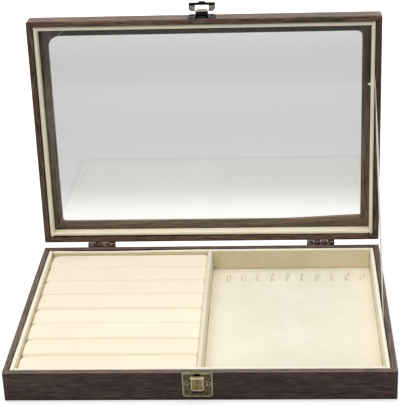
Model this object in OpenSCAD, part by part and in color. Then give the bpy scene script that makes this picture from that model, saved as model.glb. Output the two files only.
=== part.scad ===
// Display box for rings and necklaces, with a glazed lid that stands open on a stay ribbon.
// Origin at the middle of the underside, +Z up, +Y towards the hinges, millimetres.
// The lid's pieces are written as they lie with the lid shut, then swung to the open stop.

/* [Box] */
// Overall width, left to right
box_w = 350; // [300:5:400]
// Overall depth of the base, front to hinge side
box_d = 240; // [200:5:280]
// Height of the base, with the felt under it
base_h = 30; // [28:0.5:40]
// Height of the lid
lid_h = 17.5; // [17.5:0.5:24]
// Thickness of the wrapped boards of the walls and rails
wall_t = 5.5; // [5:0.25:7]
// Radius of the upright corners
corner_r = 2; // [1:0.1:3]
// Radius of the long edges
edge_r = 0.9; // [0.4:0.1:1.5]
// Gap between the two rims when the lid is shut
rim_gap = 0.4; // [0.2:0.1:1]
// Angle at which the stay ribbon stops the lid
lid_open = 92; // [80:1:100]

/* [Floor] */
// Thickness of the felt sheet under the base
felt_t = 0.8; // [0.5:0.1:1.5]
// How far the felt stays in from the walls' outer faces
felt_inset = 2; // [1:0.5:4]
// Thickness of the floor panel
floor_t = 2.5; // [2:0.1:4]

/* [Lining] */
// Thickness of the velvet-covered lining boards
lining_t = 3.6; // [3:0.1:5]
// Space for the glued cloth between a lining board and its wall
lining_gap = 0.6; // [0.5:0.1:1]
// How far the linings stop short of the rim
lining_drop = 0.5; // [0.3:0.1:1.5]
// Radius of the linings' padded edges
lining_r = 1.3; // [0.6:0.1:1.5]
// Thickness of the divider between the two compartments
divider_t = 4.4; // [3.6:0.1:6]

/* [Ring rolls] */
// Number of ring rolls
roll_count = 8; // [6:1:10]
// Depth of the rolls' crowns below the rim
roll_drop = 4; // [3:0.5:8]
// Slot between two rolls, where a ring's band goes in
roll_gap = 0.4; // [0.3:0.1:1.5]

/* [Necklace side] */
// Thickness of the velvet-covered board
board_t = 4.7; // [4:0.1:7]
// Number of necklace hooks
hook_count = 10; // [6:1:10]
// Distance from the divider's middle to the first hook
hook_start = 18; // [12:0.5:24]
// Distance from the last hook to the right lining
hook_end = 10.95; // [8:0.05:16]
// Distance of the hooks' row from the inner face of the back wall
hook_setback = 30.3; // [20:0.1:60]
// Height of a hook above the board
hook_h = 7.1; // [6:0.1:10]
// Radius of a hook's wire
wire_r = 0.55; // [0.4:0.05:0.8]
// Radius of a hook's bend, to the wire's middle
bend_r = 1.6; // [1.3:0.1:2.2]

/* [Lid window] */
// Thickness of the window panel
panel_t = 3.5; // [2.5:0.1:4]
// Thickness of the glass
glass_t = 2; // [1.5:0.1:3]
// Distance from the lid's outer faces to the window
window_border = 18.4; // [14:0.2:30]
// Radius of the window's corners
window_r = 3.5; // [2:0.5:12]

/* [Hinges] */
// Distance from each hinge's middle to the nearer end of the box
hinge_inset = 60.3; // [40:0.1:80]
// Width of a hinge
hinge_w = 28.8; // [20:0.2:36]
// Reach of a leaf from the hinge axis
leaf_h = 13; // [11:0.5:15]
// Thickness of a leaf
leaf_t = 0.9; // [0.6:0.1:1.2]
// Outer radius of the knuckles
knuckle_r = 3; // [2.6:0.1:3.4]
// Radius of the hinge pins
pin_r = 1.2; // [0.8:0.1:1.4]
// Gap between two knuckles, and between a knuckle and the box
hinge_play = 0.3; // [0.2:0.05:0.5]

/* [Nails] */
// Radius of the nails' shanks
nail_r = 0.7; // [0.5:0.05:0.9]
// Depth of the nails in the wood
nail_l = 4; // [3:0.1:4.4]
// Radius of the nails' heads
nail_head_r = 1.5; // [1.2:0.1:1.8]
// Height of the nails' heads
nail_head_t = 0.5; // [0.3:0.1:0.8]
// Running clearance of pins and nails in their holes
bore_fit = 0.05; // [0.02:0.01:0.09]

/* [Catch] */
// Place of the latch, left of the middle
latch_x = 1.2; // [-20:0.1:20]
// Width of the catch plate
catch_w = 27; // [24:0.5:32]
// Height of the catch plate
catch_h = 24.7; // [23:0.1:25]
// Thickness of the catch and hasp plates
latch_t = 0.8; // [0.6:0.1:1]
// Depth of the catch plate's lip over the rim
lip_d = 3; // [2:0.1:4]
// Width of the raised border of the catch plate
border_w = 1.1; // [0.8:0.1:1.5]
// Height of the raised border
border_t = 0.3; // [0.2:0.05:0.5]
// Distance from the catch plate's middle to each nail
catch_nail_x = 9.8; // [9:0.1:10.5]
// Depth of the catch nails below the rim
catch_nail_drop = 11.3; // [8:0.1:15]
// Width of the spring tongue
tongue_w = 11.2; // [9:0.1:11.6]
// Depth of the tongue's upper edge below the rim
tongue_drop = 3; // [2.6:0.1:4]
// Height of the tongue
tongue_h = 15; // [13:0.1:16]
// Height of the tongue's ridge, from the base's front face
ridge_out = 4.6; // [4.2:0.1:5.2]

/* [Hasp] */
// Width of the hasp plate on the lid
hasp_w = 27.6; // [26:0.2:32]
// Height of the hasp plate
hasp_h = 15.4; // [14:0.1:16]
// Height of the hasp's axis above the lid's rim
hasp_axis_up = 5; // [4.6:0.1:5.4]
// Angle at which the raised flap comes to its stop
hasp_open = 132; // [60:1:150]
// Width of the flap
flap_w = 26; // [24:0.5:30]
// Width of the flap's window
flap_window_w = 13.4; // [13:0.1:15]
// Length of the flap, without its thumb tab
flap_l = 14.2; // [14:0.1:15]
// Width of the flap's neck
neck_w = 12.4; // [11:0.1:12.6]

/* [Stay ribbon] */
// Width of the ribbon
ribbon_w = 5; // [3:0.5:8]
// Thickness of the ribbon
ribbon_t = 0.35; // [0.2:0.05:0.4]
// Place of the ribbon's lower end, in front of the middle of the box
ribbon_base_y = 18.3; // [10:0.1:40]
// Place of the ribbon's upper end on the shut lid, in front of the middle of the box
ribbon_lid_y = 46.4; // [30:0.1:60]
// Length of ribbon glued behind the lining at each end
ribbon_tail = 13; // [8:0.5:14]

/* [Hidden] */
$fn = 48;
seam = 0.1;
touch = 0.01;
overrun = 1;
brown = [0.25, 0.2, 0.17];
rail_brown = [0.35, 0.28, 0.23];
cream = [0.95, 0.91, 0.82];
bronze = [0.36, 0.32, 0.24];
steel = [0.78, 0.76, 0.7];

// Heights from the underside up, with the lid shut
floor_top = felt_t + floor_t;
lining_top = base_h - lining_drop;
roll_top = base_h - roll_drop;
board_top = floor_top + board_t;
lid_rim = base_h + rim_gap;
lid_top = lid_rim + lid_h;
panel_z = lid_top - panel_t;
glass_z = panel_z - glass_t;
hinge_z = base_h + rim_gap / 2;

// Half spans of the walls' inner faces and of the linings' faces
inner_x = box_w / 2 - wall_t;
inner_y = box_d / 2 - wall_t;
lined_x = inner_x - lining_gap - lining_t;
lined_y = inner_y - lining_gap - lining_t;
hinge_y = box_d / 2 + knuckle_r + hinge_play;
hinge_x = box_w / 2 - hinge_inset;

// Rolls and hooks
roll_pitch = 2 * lined_y / roll_count;
roll_power = 0.4;
roll_end_power = 0.12;
roll_sides = 20;
roll_rings = 17;
hook_pitch = (lined_x - hook_start - hook_end) / (hook_count - 1);
hook_twist = [5, 18, 62, 50, 24, 66, 38, 60, 30, 12];
hook_leg = 2.4;
hook_flange_r = 1.5;
hook_flange_t = 0.5;
hook_y = inner_y - hook_setback;

// Hinge knuckles: four on each hinge, the base and the lid own every second one
knuckle_count = 4;
knuckle_pitch = hinge_w / knuckle_count;
knuckle_w = knuckle_pitch - hinge_play;
knuckle_room = knuckle_r + hinge_play;
leaf_start = sqrt(pow(knuckle_room, 2) - pow(knuckle_room - leaf_t, 2));
hinge_nail_x = hinge_w * 0.3;
hinge_nail_out = (leaf_start + leaf_h) / 2;

// Latch: distances out from the front face, and sizes of its small features
catch_r = 3;
catch_ring_r = 1.9;
lip_t = 0.6;
slot_w = 10.6;
slot_h = 1.6;
slot_below = 1.8;
tongue_out = latch_t + border_t;
tongue_t = 0.8;
tongue_edge = 0.8;
tongue_edge_t = 0.45;
tongue_r = 2;
ridge_h = 1.7;
ridge_over = 0.5;
tongue_neck_w = 5.2;
foot_h = 0.9;
tongue_top = base_h - tongue_drop;
hasp_bottom = lid_rim + 1.1;
hasp_ear_r = 4;
hasp_barrel_r = 1.5;
hasp_pin_r = 0.6;
hasp_axis_out = latch_t + hasp_barrel_r + 0.2;
hasp_axis_z = lid_rim + hasp_axis_up;
hasp_nail_x = 10;
hasp_nail_up = 11.6;
flap_t = 0.8;
flap_out = 0.4;
flap_clear = hasp_barrel_r + hinge_play;
flap_barrel_w = 7;
hasp_side_w = (neck_w - flap_barrel_w) / 2 - hinge_play / 2;
flap_shoulder = 4.9;
flap_window_top = 5.2;
flap_bar = 2.5;
flap_bump_w = 7.2;
flap_bump_l = 1.4;
flap_corner_r = 3.6;
curl_w = 10.6;
curl_r = 1.2;
front_y = -box_d / 2;

// Shared shapes

// Rectangle from the origin with round corners
module soft_rect(size, r) {
    translate([r, 0]) square([size.x - 2 * r, size.y]);
    translate([0, r]) square([size.x, size.y - 2 * r]);
    for (x = [r, size.x - r], y = [r, size.y - r]) translate([x, y]) circle(r);
}

module soft_rect_centred(size, r) {
    translate(-size / 2) soft_rect(size, r);
}

// Rectangle from the origin whose two lower corners are round
module square_top(size, r) {
    translate([r, 0]) square([size.x - 2 * r, size.y]);
    translate([0, r]) square([size.x, size.y - r]);
    for (x = [r, size.x - r]) translate([x, r]) circle(r);
}

// Board along X with round long edges: outer face on y = 0, foot on z = 0
module soft_board(length, thick, tall, r) {
    rotate([90, 0, 90]) linear_extrude(length, center = true) soft_rect([thick, tall], r);
}

// The board on the -Y side of a mitred frame that is run wide and reach deep
module frame_board(run, reach, z0, tall) {
    intersection() {
        translate([0, -reach / 2, z0]) soft_board(run, wall_t, tall, edge_r);
        translate([0, 0, z0]) linear_extrude(tall) polygon([
            [-run / 2, -reach / 2],
            [run / 2, -reach / 2],
            [run / 2 - wall_t, -reach / 2 + wall_t],
            [-run / 2 + wall_t, -reach / 2 + wall_t]
        ]);
        translate([0, 0, z0]) linear_extrude(tall) soft_rect_centred([run, reach], corner_r);
    }
}

module base_board(run, reach) {
    frame_board(run, reach, felt_t, base_h - felt_t);
}

module lid_board(run, reach) {
    frame_board(run, reach, lid_rim, lid_h);
}

// Lining board on the -Y side of a frame whose wall faces lie reach apart
module lining_board(length, reach, z0, z1) {
    color(cream) translate([0, -reach / 2 + lining_gap, z0])
        soft_board(length, lining_t, z1 - z0, lining_r);
}

// Rod along +Y from the point at
module rod_y(at, r, length) {
    translate(at) rotate([-90, 0, 0]) cylinder(h = length, r = r);
}

// Rod along X, centred on the point at
module rod_x(at, r, length) {
    translate(at) rotate([0, 90, 0]) cylinder(h = length, r = r, center = true);
}

// Nail driven along +Y, with its head on the point at of a plate as thick as through
module nail(at, through) {
    rod_y([at.x, at.y - nail_head_t, at.z], nail_head_r, nail_head_t);
    rod_y([at.x, at.y - nail_head_t / 2, at.z], nail_r, nail_head_t / 2 + through + nail_l);
}

// Swings pieces of the shut lid to the open stop
module open_lid() {
    translate([0, hinge_y, hinge_z]) rotate([-lid_open, 0, 0])
        translate([0, -hinge_y, -hinge_z]) children();
}

// Where a point of the shut lid lies at the open stop, as [y, z]
function opened(y, z) = [
    hinge_y + (y - hinge_y) * cos(lid_open) + (z - hinge_z) * sin(lid_open),
    hinge_z - (y - hinge_y) * sin(lid_open) + (z - hinge_z) * cos(lid_open)
];

// Base

module nail_holes(points, y) {
    for (p = points) rod_y([p.x, y, p[1]], nail_r + bore_fit, nail_l + seam);
}

catch_nail_points = [for (s = [-1, 1]) [-latch_x + s * catch_nail_x, base_h - catch_nail_drop]];
hasp_nail_points = [for (s = [-1, 1]) [-latch_x + s * hasp_nail_x, lid_rim + hasp_nail_up]];
function hinge_nail_points(z) = [for (h = [-1, 1], s = [-1, 1]) [h * hinge_x + s * hinge_nail_x, z]];

module base_front_wall() {
    color(brown) difference() {
        base_board(box_w, box_d);
        translate([-latch_x - catch_w / 2 - seam, front_y - overrun, base_h - lip_t])
            cube([catch_w + 2 * seam, lip_d + seam + overrun, lip_t + overrun]);
        nail_holes(catch_nail_points, front_y - touch);
    }
}

module base_back_wall() {
    color(brown) difference() {
        rotate([0, 0, 180]) base_board(box_w, box_d);
        nail_holes(hinge_nail_points(hinge_z - hinge_nail_out), box_d / 2 - nail_l - seam + touch);
    }
}

module base_left_wall() {
    color(brown) rotate([0, 0, -90]) base_board(box_d, box_w);
}

module base_right_wall() {
    color(brown) rotate([0, 0, 90]) base_board(box_d, box_w);
}

module floor_panel() {
    color(brown) translate([-inner_x + seam, -inner_y + seam, felt_t])
        cube([2 * (inner_x - seam), 2 * (inner_y - seam), floor_t]);
}

module underside_felt() {
    color([0.12, 0.11, 0.1]) linear_extrude(felt_t)
        soft_rect_centred([box_w - 2 * felt_inset, box_d - 2 * felt_inset], corner_r);
}

module lining_front() {
    lining_board(2 * (lined_x - seam), 2 * inner_y, floor_top, lining_top);
}

module lining_back() {
    rotate([0, 0, 180]) lining_front();
}

module lining_left() {
    rotate([0, 0, -90]) lining_board(2 * (inner_y - lining_gap), 2 * inner_x, floor_top, lining_top);
}

module lining_right() {
    rotate([0, 0, 180]) lining_left();
}

module divider() {
    color(cream) translate([-divider_t / 2, 0, floor_top]) rotate([0, 0, -90])
        soft_board(2 * (lined_y - seam), divider_t, lining_top - floor_top, lining_r);
}

// One padded roll: a box-like superellipse in section, with drawn-in sides and ends
roll_x0 = -lined_x + seam + roll_gap / 2;
roll_x1 = -divider_t / 2 - seam - roll_gap / 2;
roll_half = [(roll_x1 - roll_x0) / 2, (roll_pitch - roll_gap) / 2, (roll_top - floor_top - seam) / 2];

function rounded(c, power) = sign(c) * pow(abs(c), power);

function roll_point(v, a) = [
    -roll_half.x * rounded(cos(v), roll_end_power),
    roll_half.y * rounded(sin(v), roll_end_power) * rounded(cos(a), roll_power),
    roll_half.z * rounded(sin(v), roll_end_power) * rounded(sin(a), roll_power)
];

roll_points = concat(
    [[-roll_half.x, 0, 0]],
    [for (i = [1:roll_rings], k = [0:roll_sides - 1])
        roll_point(180 * i / (roll_rings + 1), 360 * k / roll_sides)],
    [[roll_half.x, 0, 0]]
);
roll_last = len(roll_points) - 1;

function ring_index(i, k) = 1 + i * roll_sides + k % roll_sides;

roll_faces = concat(
    [for (k = [0:roll_sides - 1]) [0, ring_index(0, k), ring_index(0, k + 1)]],
    [for (i = [0:roll_rings - 2], k = [0:roll_sides - 1])
        [ring_index(i, k), ring_index(i + 1, k), ring_index(i + 1, k + 1)]],
    [for (i = [0:roll_rings - 2], k = [0:roll_sides - 1])
        [ring_index(i, k), ring_index(i + 1, k + 1), ring_index(i, k + 1)]],
    [for (k = [0:roll_sides - 1])
        [roll_last, ring_index(roll_rings - 1, k + 1), ring_index(roll_rings - 1, k)]]
);

// Rolls are counted from the back
module ring_roll(i) {
    color(cream)
        translate([(roll_x0 + roll_x1) / 2, lined_y - (i - 0.5) * roll_pitch, floor_top + seam + roll_half.z])
        polyhedron(roll_points, roll_faces);
}

function hook_x(i) = hook_start + (i - 1) * hook_pitch;

module necklace_board() {
    x0 = divider_t / 2 + seam;
    color(cream) difference() {
        translate([x0, 0, floor_top]) rotate([0, 0, -90])
            soft_board(2 * (lined_y - seam), lined_x - seam - x0, board_t, lining_r);
        for (i = [1:hook_count]) translate([hook_x(i), hook_y, floor_top - overrun])
            cylinder(h = board_t + 2 * overrun, r = wire_r + bore_fit);
    }
}

// A wire hook on a small flange, its shank set in the board, its bend turned by the given twist
module necklace_hook(i) {
    straight = hook_h - bend_r - wire_r;
    color(steel) translate([hook_x(i), hook_y, board_top]) rotate([0, 0, hook_twist[i - 1]]) {
        translate([0, 0, -board_t + seam]) cylinder(h = board_t - seam + straight, r = wire_r);
        cylinder(h = hook_flange_t, r = hook_flange_r);
        translate([bend_r, 0, straight]) rotate([90, 0, 0]) rotate_extrude(angle = 180)
            translate([bend_r, 0]) circle(wire_r);
        translate([2 * bend_r, 0, straight - hook_leg]) cylinder(h = hook_leg, r = wire_r);
        translate([2 * bend_r, 0, straight - hook_leg]) sphere(wire_r);
    }
}

// Hinges

function knuckle_x(k) = -hinge_w / 2 + (k + 0.5) * knuckle_pitch;

// Leaf of one hinge as it lies on the base, hanging from the axis; own lists its knuckles
module hinge_leaf(own) {
    color(bronze) difference() {
        union() {
            translate([-hinge_w / 2, box_d / 2, hinge_z - leaf_h])
                cube([hinge_w, leaf_t, leaf_h - leaf_start]);
            for (k = own) {
                rod_x([knuckle_x(k), hinge_y, hinge_z], knuckle_r, knuckle_w);
                translate([knuckle_x(k) - knuckle_w / 2, box_d / 2, hinge_z - leaf_start - touch])
                    cube([knuckle_w, leaf_t, leaf_start + touch]);
            }
        }
        rod_x([0, hinge_y, hinge_z], pin_r + bore_fit, 2 * hinge_w);
        for (s = [-1, 1])
            rod_y([s * hinge_nail_x, box_d / 2 - overrun, hinge_z - hinge_nail_out],
                nail_r + bore_fit, leaf_t + 2 * overrun);
    }
}

module hinge_leaf_base(side) {
    translate([side * hinge_x, 0, 0]) hinge_leaf([0, 2]);
}

// The lid's leaf is the base's, mirrored across the axis, with the other knuckles
module hinge_leaf_lid(side) {
    open_lid() translate([side * hinge_x, 0, hinge_z]) mirror([0, 0, 1]) translate([0, 0, -hinge_z])
        hinge_leaf([1, 3]);
}

module hinge_pin(side) {
    color(bronze) rod_x([side * hinge_x, hinge_y, hinge_z], pin_r, hinge_w);
}

// Nails driven from behind into a back wall at height z
module hinge_nails(z) {
    color(bronze) for (p = hinge_nail_points(z))
        translate([p.x, box_d / 2 + leaf_t, p[1]]) rotate([0, 0, 180]) nail([0, 0, 0], leaf_t);
}

module hinge_nails_base() {
    hinge_nails(hinge_z - hinge_nail_out);
}

module hinge_nails_lid() {
    open_lid() hinge_nails(hinge_z + hinge_nail_out);
}

// Catch on the base's front, written in the plane of the front face: x across, y up

// Extrudes a drawing on the front face, from the distance out0 to out1 in front of it
module on_front(out0, out1) {
    translate([-latch_x, front_y - out0, 0]) rotate([90, 0, 0]) linear_extrude(out1 - out0) children();
}

module catch_outline() {
    translate([-catch_w / 2, base_h - catch_h]) square_top([catch_w, catch_h], catch_r);
}

module catch_plate() {
    slot_z = tongue_top - tongue_h - slot_below;
    color(bronze) difference() {
        union() {
            on_front(0, latch_t) catch_outline();
            on_front(latch_t - touch, latch_t + border_t) difference() {
                catch_outline();
                translate([-catch_w / 2 + border_w, base_h - catch_h + border_w])
                    square_top([catch_w - 2 * border_w, catch_h - 2 * border_w], catch_r - border_w);
            }
            for (s = [-1, 1]) on_front(latch_t - touch, latch_t + border_t)
                translate([s * catch_nail_x, base_h - catch_nail_drop]) circle(catch_ring_r);
            translate([-latch_x - catch_w / 2, front_y - touch, base_h - lip_t])
                cube([catch_w, lip_d + touch, lip_t]);
        }
        on_front(-touch, latch_t + overrun) {
            translate([-slot_w / 2, slot_z - slot_h]) square([slot_w, slot_h]);
            translate([-tongue_neck_w / 2 - seam, tongue_top + foot_h])
                square([tongue_neck_w + 2 * seam, foot_h + seam]);
        }
        for (s = [-1, 1]) on_front(-overrun, latch_t + border_t + overrun)
            translate([s * catch_nail_x, base_h - catch_nail_drop]) circle(nail_r + bore_fit);
    }
}

module tongue_outline(inset) {
    translate([-tongue_w / 2 + inset, tongue_top - tongue_h + inset])
        square_top([tongue_w - 2 * inset, tongue_h - inset], tongue_r - inset);
}

module catch_tongue() {
    face = tongue_out + tongue_t;
    color([0.5, 0.45, 0.28]) union() {
        on_front(tongue_out, face) tongue_outline(0);
        on_front(face - touch, face + tongue_edge_t) difference() {
            tongue_outline(0);
            tongue_outline(tongue_edge);
        }
        on_front(face - touch, ridge_out) translate([-tongue_w / 2 - ridge_over, tongue_top - ridge_h])
            square([tongue_w + 2 * ridge_over, ridge_h]);
        on_front(tongue_out, face) translate([-tongue_neck_w / 2, tongue_top - touch])
            square([tongue_neck_w, 2 * foot_h]);
        on_front(0, face) translate([-tongue_neck_w / 2, tongue_top + foot_h + seam])
            square([tongue_neck_w, foot_h - seam]);
    }
}

// The catch nails are headless pins, driven just below the rings round their holes
module catch_nails() {
    color([0.08, 0.07, 0.06]) for (p = catch_nail_points)
        rod_y([p.x, front_y - latch_t / 2, p[1]], nail_r, nail_l + latch_t / 2);
}

// Lid

module lid_front_rail() {
    color(rail_brown) open_lid() difference() {
        lid_board(box_w, box_d);
        nail_holes(hasp_nail_points, front_y - touch);
    }
}

module lid_back_rail() {
    color(rail_brown) open_lid() difference() {
        rotate([0, 0, 180]) lid_board(box_w, box_d);
        nail_holes(hinge_nail_points(hinge_z + hinge_nail_out), box_d / 2 - nail_l - seam + touch);
    }
}

module lid_left_rail() {
    color(rail_brown) open_lid() rotate([0, 0, -90]) lid_board(box_d, box_w);
}

module lid_right_rail() {
    color(rail_brown) open_lid() rotate([0, 0, 90]) lid_board(box_d, box_w);
}

module lid_window_panel() {
    window = [box_w - 2 * window_border, box_d - 2 * window_border];
    color(rail_brown) open_lid() translate([0, 0, panel_z]) linear_extrude(panel_t) difference() {
        square([2 * (inner_x - seam), 2 * (inner_y - seam)], center = true);
        soft_rect_centred(window, window_r);
    }
}

module lid_glass() {
    pane = 2 * [inner_x - lining_gap, inner_y - lining_gap];
    color([0.8, 0.85, 0.85, 0.4]) open_lid() translate([-pane.x / 2, -pane.y / 2, glass_z])
        cube([pane.x, pane.y, glass_t]);
}

lid_lining_foot = lid_rim + lining_drop;

module lid_lining_front() {
    open_lid() lining_board(2 * (lined_x - seam), 2 * inner_y, lid_lining_foot, glass_z);
}

module lid_lining_back() {
    open_lid() rotate([0, 0, 180])
        lining_board(2 * (lined_x - seam), 2 * inner_y, lid_lining_foot, glass_z);
}

module lid_side_lining(turn) {
    open_lid() rotate([0, 0, turn])
        lining_board(2 * (inner_y - lining_gap), 2 * inner_x, lid_lining_foot, glass_z);
}

module lid_lining_left() {
    lid_side_lining(-90);
}

module lid_lining_right() {
    lid_side_lining(90);
}

// Hasp on the lid's front, as it hangs with the lid shut

module hasp_plate() {
    color(bronze) open_lid() difference() {
        union() {
            on_front(0, latch_t) translate([-hasp_w / 2, hasp_bottom])
                soft_rect([hasp_w, hasp_h], hasp_ear_r);
            for (s = [-1, 1]) {
                x = -latch_x + s * (neck_w - hasp_side_w) / 2;
                rod_x([x, front_y - hasp_axis_out, hasp_axis_z], hasp_barrel_r, hasp_side_w);
                translate([x - hasp_side_w / 2, front_y - hasp_axis_out, hasp_axis_z - hasp_barrel_r])
                    cube([hasp_side_w, hasp_axis_out - latch_t / 2, 2 * hasp_barrel_r]);
            }
        }
        rod_x([-latch_x, front_y - hasp_axis_out, hasp_axis_z], hasp_pin_r + bore_fit, 2 * neck_w);
        for (p = hasp_nail_points)
            rod_y([p.x, front_y - latch_t - overrun, p[1]], nail_r + bore_fit, latch_t + 2 * overrun);
    }
}

module hasp_pin() {
    color(bronze) open_lid() rod_x([-latch_x, front_y - hasp_axis_out, hasp_axis_z], hasp_pin_r, neck_w);
}

module hasp_nails() {
    color(bronze) open_lid() for (p = hasp_nail_points) nail([p.x, front_y - latch_t, p[1]], latch_t);
}

// Outline of the flap, hanging down from its axis at the origin
module flap_outline() {
    difference() {
        translate([-flap_w / 2, -flap_shoulder]) mirror([0, 1])
            square_top([flap_w, flap_l - flap_shoulder], flap_corner_r);
        translate([-flap_window_w / 2, -flap_l + flap_bar])
            square([flap_window_w, flap_l - flap_bar - flap_window_top]);
    }
    translate([-neck_w / 2, -flap_window_top - touch]) square([neck_w, flap_window_top - flap_clear]);
    translate([-flap_barrel_w / 2, -flap_clear - overrun]) square([flap_barrel_w, flap_clear + overrun]);
    translate([-flap_bump_w / 2, -flap_l - flap_bump_l])
        square_top([flap_bump_w, flap_bump_l + overrun], flap_bump_l);
}

module hasp_flap() {
    axis = [-latch_x, front_y - hasp_axis_out, hasp_axis_z];
    color(bronze) open_lid() translate(axis) rotate([-hasp_open, 0, 0]) difference() {
        union() {
            rod_x([0, 0, 0], hasp_barrel_r, flap_barrel_w);
            translate([0, -flap_out, 0]) rotate([90, 0, 0]) linear_extrude(flap_t) flap_outline();
            rod_x([0, -flap_out - flap_t, -flap_window_top - curl_r + touch], curl_r, curl_w);
        }
        rod_x([0, 0, 0], hasp_pin_r + bore_fit, 2 * flap_barrel_w);
    }
}

// Stay ribbon: one flat strip between the base's right wall and the lid's right rail

module stay_ribbon() {
    foot = [-ribbon_base_y, base_h];
    head = opened(-ribbon_lid_y, lid_rim);
    span = norm(head - foot);
    rise = atan2(head[1] - foot[1], head[0] - foot[0]);
    color([0.97, 0.96, 0.94]) translate([inner_x - lining_gap / 2, foot[0], foot[1]]) rotate([rise, 0, 0])
        translate([-ribbon_t / 2, -ribbon_tail, -ribbon_w / 2])
        cube([ribbon_t, span + 2 * ribbon_tail, ribbon_w]);
}

base_front_wall();
base_back_wall();
base_left_wall();
base_right_wall();
floor_panel();
underside_felt();
lining_front();
lining_back();
lining_left();
lining_right();
divider();
necklace_board();
for (i = [1:roll_count]) ring_roll(i);
for (i = [1:hook_count]) necklace_hook(i);
hinge_leaf_base(-1);  // hinge_leaf_base_left
hinge_leaf_base(1);  // hinge_leaf_base_right
hinge_pin(-1);  // hinge_pin_left
hinge_pin(1);  // hinge_pin_right
hinge_nails_base();
catch_plate();
catch_tongue();
catch_nails();
lid_front_rail();
lid_back_rail();
lid_left_rail();
lid_right_rail();
lid_window_panel();
lid_glass();
lid_lining_front();
lid_lining_back();
lid_lining_left();
lid_lining_right();
hinge_leaf_lid(-1);  // hinge_leaf_lid_left
hinge_leaf_lid(1);  // hinge_leaf_lid_right
hinge_nails_lid();
hasp_plate();
hasp_pin();
hasp_nails();
hasp_flap();
stay_ribbon();
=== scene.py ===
"""Looks, light and camera for the display box for rings and necklaces.

Everything is in metres in the part's own frame: the origin is the middle of the underside, +Y points to the
hinges and +Z up. The lid stands at its open stop, as in the photograph.
"""

import math

import bmesh
import bpy
import numpy as np
from mathutils import Matrix, Vector, noise


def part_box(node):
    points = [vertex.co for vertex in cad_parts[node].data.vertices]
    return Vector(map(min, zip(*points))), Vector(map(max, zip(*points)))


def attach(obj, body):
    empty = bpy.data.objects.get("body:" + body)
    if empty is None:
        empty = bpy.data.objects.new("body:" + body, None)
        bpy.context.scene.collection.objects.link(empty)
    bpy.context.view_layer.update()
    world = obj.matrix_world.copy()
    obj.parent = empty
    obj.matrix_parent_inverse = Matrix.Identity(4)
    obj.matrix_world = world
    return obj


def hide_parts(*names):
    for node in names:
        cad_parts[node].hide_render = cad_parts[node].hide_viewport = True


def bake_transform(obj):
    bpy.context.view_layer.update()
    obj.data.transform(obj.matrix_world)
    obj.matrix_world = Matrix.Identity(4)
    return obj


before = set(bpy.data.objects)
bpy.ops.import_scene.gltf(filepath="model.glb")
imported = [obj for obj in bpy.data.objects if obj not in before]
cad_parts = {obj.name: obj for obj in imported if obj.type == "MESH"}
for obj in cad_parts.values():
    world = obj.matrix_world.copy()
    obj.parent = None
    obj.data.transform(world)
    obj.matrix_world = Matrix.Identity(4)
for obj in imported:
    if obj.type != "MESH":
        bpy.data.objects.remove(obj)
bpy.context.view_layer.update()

# Sizes of the part that its pieces here follow

LID_OPEN = math.radians(92)
HINGE = Vector((0, 0.1233, 0.0302))
BOX_W, BOX_D = 0.350, 0.240
WINDOW_BORDER, WINDOW_R = 0.0184, 0.0035
LID_RIM, GLASS_FACE, PANEL_FACE, LID_TOP = 0.0304, 0.0424, 0.0444, 0.0479
FLOOR_TOP, LINING_TOP = 0.0033, 0.0295
LINED_X, LINED_Y, LINING_T = 0.1653, 0.1103, 0.0036
FRONT = -BOX_D / 2
# How far the rolls' pile reaches into the slots between them
PILE = 0.0001
RIBBON_X = 0.1692
RIBBON_FOOT = Vector((RIBBON_X, -0.0183, 0.030))
RIBBON_HEAD = Vector((RIBBON_X, 0.12942, 0.19979))
RIBBON_TAIL = 0.013
RIBBON_W, RIBBON_T = 0.005, 0.00035
HASP_PIN = Vector((-0.0012, 0.137075, 0.275669))


# Camera


def photo_camera():
    """The camera that a least-squares fit to the photograph's edges gave."""
    yaw, pitch, roll = (math.radians(a) for a in (-3.2422, 24.540, -2.0638))
    forward = Vector(
        (math.sin(yaw) * math.cos(pitch), math.cos(yaw) * math.cos(pitch), -math.sin(pitch))
    )
    level = Vector((math.cos(yaw), -math.sin(yaw), 0))
    upright = level.cross(forward)
    right = level * math.cos(roll) + upright * math.sin(roll)
    up = upright * math.cos(roll) - level * math.sin(roll)
    lens = bpy.data.cameras.new("camera")
    lens.sensor_width = 36
    lens.lens = 1303.24 / 405 * 36
    lens.shift_x = -(216.117 - 200) / 405
    lens.shift_y = (177.739 - 202.5) / 405
    camera = bpy.data.objects.new("camera", lens)
    camera.matrix_world = Matrix.Translation((0.0767087, -1.0885166, 0.6607962)) @ Matrix(
        (right, up, -forward)
    ).transposed().to_4x4()
    bpy.context.collection.objects.link(camera)
    bpy.context.scene.camera = camera


# Materials


def srgb(red, green, blue):
    """A colour as it is read off a screen, 0 to 255, in the numbers that a shader works with."""
    parts = [c / 255 for c in (red, green, blue)]
    return (*[c / 12.92 if c <= 0.04045 else ((c + 0.055) / 1.055) ** 2.4 for c in parts], 1)


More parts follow.
